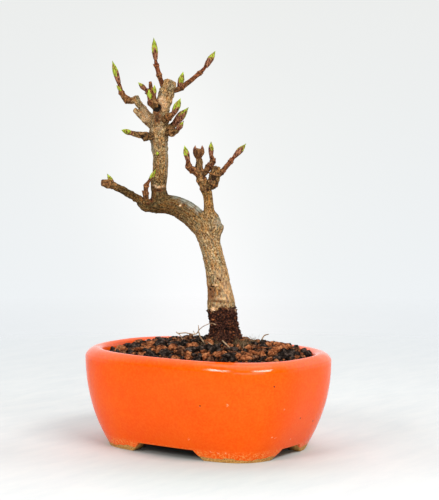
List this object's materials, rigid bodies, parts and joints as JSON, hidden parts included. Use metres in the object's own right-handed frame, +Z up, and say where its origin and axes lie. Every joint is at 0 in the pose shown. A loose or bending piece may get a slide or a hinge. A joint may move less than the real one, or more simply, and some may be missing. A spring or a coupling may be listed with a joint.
{
  "type": "potted trident maple bonsai",
  "caption": "Small bare-branched maple bonsai with a leaning trunk, an arching bough and swelling buds, in a glazed rectangular pot with rounded corners and feet.",
  "frame": {"origin": "middle of the pot's footprint, on the surface that its feet stand on", "axes": "+Z up, X along the pot's long sides, Y across the pot; the tree's front, as pictured, faces 35 degrees from -Y towards +X"},
  "size_m": [0.1278, 0.0894, 0.211],
  "materials": {
    "glaze": "glossy orange glaze, bare clay on the feet",
    "soil": "loose black and rust lava grit",
    "bark": "finely cracked grey-tan bark",
    "twigs": "red-brown young bark with green buds"
  },
  "bodies": {
    "root": {"pot": "glaze", "soil": "soil", "trunk": "bark", "arching_bough": "bark", "leader": "bark", "crown_left_bough": "bark", "left_bough": "bark", "right_bough": "bark", "crown_spire": "twigs", "crown_right_twigs": "twigs", "crown_left_twigs": "twigs", "crown_heart_twigs": "twigs", "crown_front_bud": "twigs", "crown_side_buds": "twigs", "crown_level_twig": "twigs", "crown_back_twig": "twigs", "low_back_spur": "twigs", "elbow_twig": "twigs", "left_tip_twigs": "twigs", "right_crown_twigs": "twigs"}
  },
  "joints": []
}
